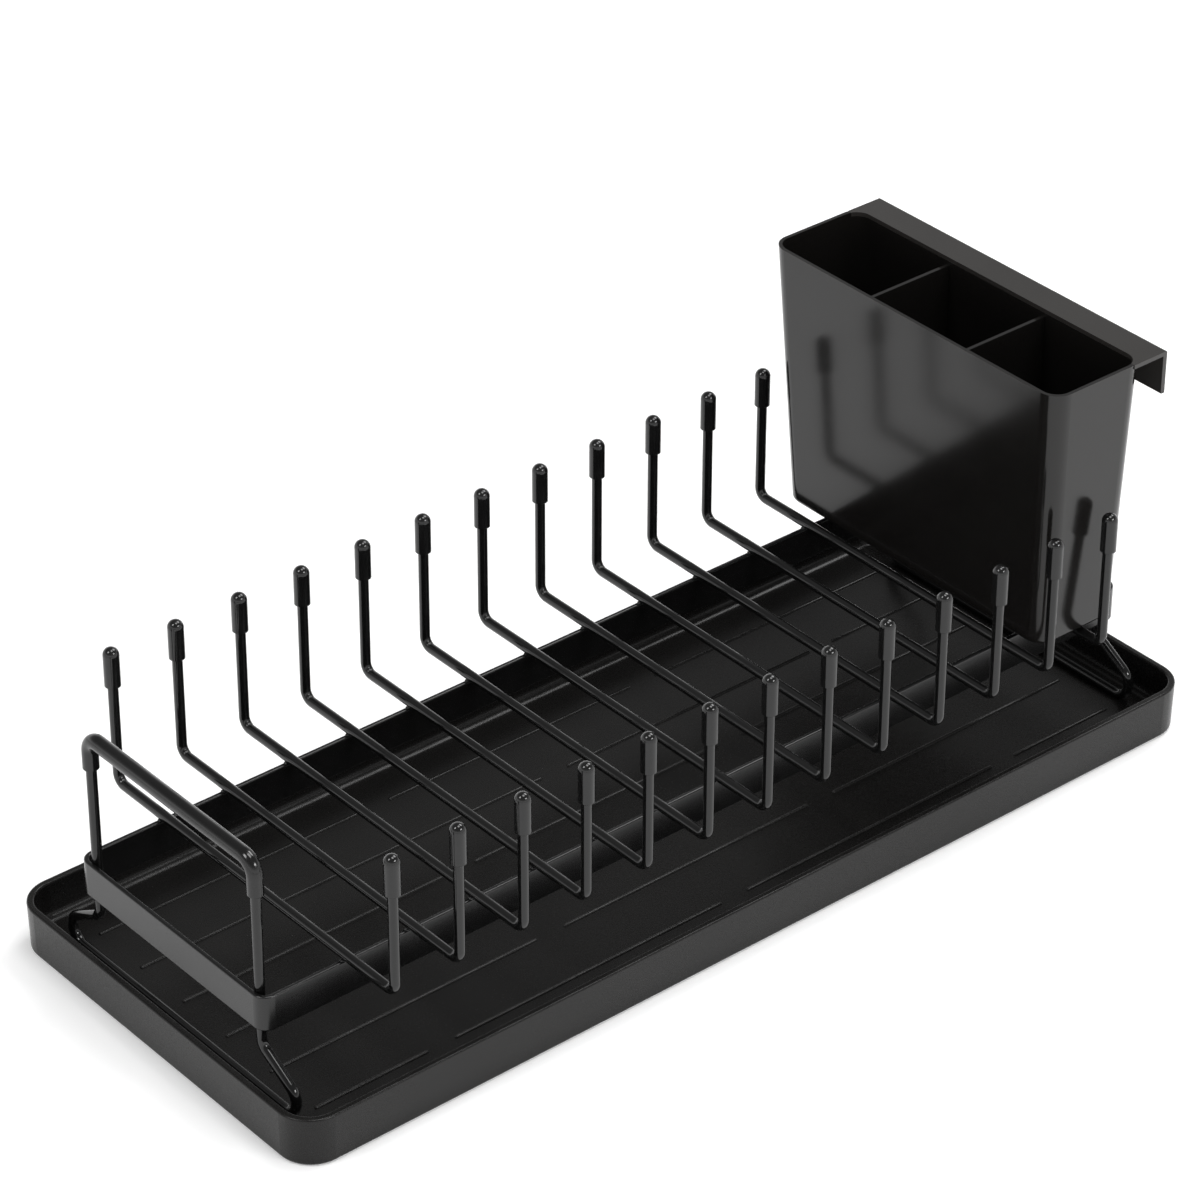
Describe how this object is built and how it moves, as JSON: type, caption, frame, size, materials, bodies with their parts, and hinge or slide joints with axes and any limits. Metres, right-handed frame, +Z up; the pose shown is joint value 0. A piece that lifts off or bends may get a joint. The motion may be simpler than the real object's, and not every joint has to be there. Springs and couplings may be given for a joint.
{
  "type": "dish drying rack",
  "caption": "Countertop dish drying rack: open wire plate rack with capped tines and end handles, standing in a shallow ribbed drip tray, with a tall cutlery holder at one end.",
  "frame": {"origin": "centre of the drip tray's underside, on the worktop", "axes": "+X along the tray, towards the cutlery holder's end; +Y across it, towards the rear row of tines; +Z up"},
  "size_m": [0.5172, 0.2114, 0.204],
  "materials": {
    "tray_plastic": "matte moulded, fine texture",
    "band_coat": "satin black powder coat",
    "wire_coat": "satin black powder coat",
    "cap_silicone": "smooth black silicone",
    "sleeve_silicone": "smooth black silicone",
    "holder_plastic": "satin-gloss moulded"
  },
  "bodies": {
    "tray": {"drip_tray": "tray_plastic"},
    "rack": {"frame_band": "band_coat", "tine_wire_01": "wire_coat", "tine_wire_02": "wire_coat", "tine_wire_03": "wire_coat", "tine_wire_04": "wire_coat", "tine_wire_05": "wire_coat", "tine_wire_06": "wire_coat", "tine_wire_07": "wire_coat", "tine_wire_08": "wire_coat", "tine_wire_09": "wire_coat", "tine_wire_10": "wire_coat", "tine_wire_11": "wire_coat", "tine_wire_12": "wire_coat", "tine_wire_13": "wire_coat", "tine_cap_front_01": "cap_silicone", "tine_cap_front_02": "cap_silicone", "tine_cap_front_03": "cap_silicone", "tine_cap_front_04": "cap_silicone", "tine_cap_front_05": "cap_silicone", "tine_cap_front_06": "cap_silicone", "tine_cap_front_07": "cap_silicone", "tine_cap_front_08": "cap_silicone", "tine_cap_front_09": "cap_silicone", "tine_cap_front_10": "cap_silicone", "tine_cap_front_11": "cap_silicone", "tine_cap_front_12": "cap_silicone", "tine_cap_front_13": "cap_silicone", "tine_cap_rear_01": "cap_silicone", "tine_cap_rear_02": "cap_silicone", "tine_cap_rear_03": "cap_silicone", "tine_cap_rear_04": "cap_silicone", "tine_cap_rear_05": "cap_silicone", "tine_cap_rear_06": "cap_silicone", "tine_cap_rear_07": "cap_silicone", "tine_cap_rear_08": "cap_silicone", "tine_cap_rear_09": "cap_silicone", "tine_cap_rear_10": "cap_silicone", "tine_cap_rear_11": "cap_silicone", "tine_cap_rear_12": "cap_silicone", "tine_cap_rear_13": "cap_silicone", "end_loop_left": "wire_coat", "end_loop_right": "wire_coat", "handle_sleeve_left": "sleeve_silicone", "handle_sleeve_right": "sleeve_silicone"},
    "holder": {"cutlery_holder_body": "holder_plastic", "holder_divider_front": "holder_plastic", "holder_divider_rear": "holder_plastic", "holder_hook": "holder_plastic"}
  },
  "joints": [
    {"name": "rack_lift", "type": "slide", "parent": "tray", "child": "rack", "axis": [0, 0, 1], "range_m": [0, 0.06]},
    {"name": "holder_lift", "type": "slide", "parent": "rack", "child": "holder", "axis": [0, 0, 1], "range_m": [0, 0.09]}
  ]
}
